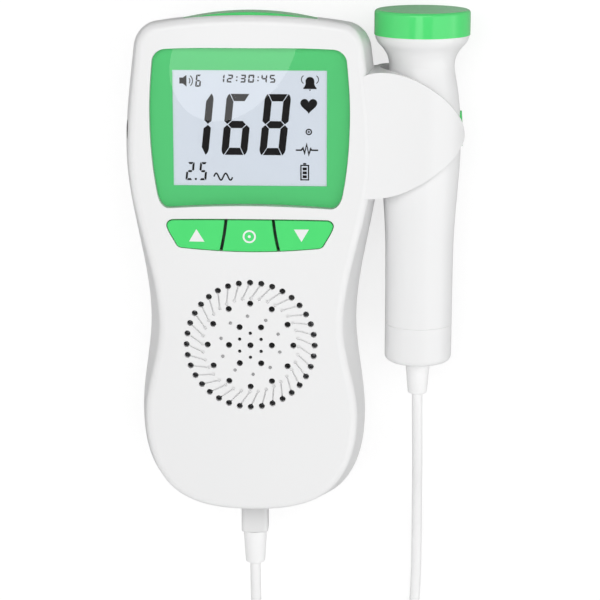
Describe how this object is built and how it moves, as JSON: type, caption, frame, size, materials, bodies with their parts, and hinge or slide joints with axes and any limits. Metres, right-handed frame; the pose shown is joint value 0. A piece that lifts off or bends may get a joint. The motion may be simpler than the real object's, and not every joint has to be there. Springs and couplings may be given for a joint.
{
  "type": "fetal doppler monitor",
  "caption": "Pocket fetal heart monitor with a digital display, soft keys, a round loudspeaker grille and a wired ultrasound probe parked in its side clip.",
  "frame": {"origin": "on the flat rear face, in the middle of the main unit's width, just under its three keys", "axes": "+Z out of the display, +Y towards the head of the device, +X towards the parked probe; the device lies on its back"},
  "size_m": [0.0967, 0.2333, 0.0343],
  "materials": {
    "housing_white": "satin white moulding",
    "trim_green": "satin green moulding",
    "lens_clear": "clear glossy window",
    "print_green": "printed film",
    "display_grey": "display glass with its polariser",
    "diffuser_white": "milky light guide",
    "board_green": "solder mask",
    "component_black": "moulded component",
    "steel": "zinc plated",
    "silicone_grey": "silicone",
    "foam_black": "foam",
    "paper_black": "pressed paper",
    "ferrite": "sintered magnet",
    "cell_jacket": "plain printed jacket",
    "contact_nickel": "nickel plated",
    "plug_metal": "plated brass",
    "cord_white": "soft PVC",
    "crystal": "silvered ceramic",
    "damping_block": "loaded epoxy"
  },
  "bodies": {
    "main_unit": {"front_shell": "housing_white", "rear_shell": "housing_white", "display_lens": "lens_clear", "display_mask": "print_green", "lcd_panel": "display_grey", "lcd_backlight": "diffuser_white", "main_board": "board_green", "board_chips": "component_black", "board_screws": "steel", "keypad_mat": "silicone_grey", "key_switches": "component_black", "power_switch": "component_black", "speaker_gasket": "foam_black", "speaker_frame": "steel", "speaker_cone": "paper_black", "speaker_magnet": "ferrite", "battery_cells": "cell_jacket", "battery_contacts": "contact_nickel", "case_screws": "steel", "headphone_jack": "component_black", "probe_socket": "component_black", "plug_body": "housing_white", "plug_barrel": "plug_metal", "plug_boot": "cord_white", "cord_to_plug": "cord_white", "cord_to_probe": "cord_white", "cord_coil": "cord_white"},
    "probe": {"probe_handle": "housing_white", "probe_cap": "trim_green", "probe_pad": "trim_green", "probe_tail": "housing_white", "probe_boot": "cord_white", "probe_board": "board_green", "transducer_crystals": "crystal", "transducer_backing": "damping_block"},
    "battery_door": {"battery_door": "housing_white"},
    "key_up": {"key_up": "trim_green"},
    "key_ok": {"key_ok": "trim_green"},
    "key_down": {"key_down": "trim_green"},
    "power_button": {"power_button": "trim_green"}
  },
  "joints": [
    {"name": "key_up_press", "type": "slide", "parent": "main_unit", "child": "key_up", "axis": [0, 0, -1], "range_m": [0, 0.0006], "stiffness_N_per_m": 1200, "springref_m": -0.0002},
    {"name": "key_ok_press", "type": "slide", "parent": "main_unit", "child": "key_ok", "axis": [0, 0, -1], "range_m": [0, 0.0006], "stiffness_N_per_m": 1200, "springref_m": -0.0002},
    {"name": "key_down_press", "type": "slide", "parent": "main_unit", "child": "key_down", "axis": [0, 0, -1], "range_m": [0, 0.0006], "stiffness_N_per_m": 1200, "springref_m": -0.0002},
    {"name": "power_press", "type": "slide", "parent": "main_unit", "child": "power_button", "axis": [0, -1, 0], "range_m": [0, 0.0006], "stiffness_N_per_m": 1500, "springref_m": -0.0002},
    {"name": "battery_door_slide", "type": "slide", "parent": "main_unit", "child": "battery_door", "axis": [0, -1, 0], "range_m": [0, 0.008]},
    {"name": "probe_slide", "type": "slide", "parent": "main_unit", "child": "probe", "axis": [0, 1, 0], "range_m": [0, 0.088]}
  ]
}
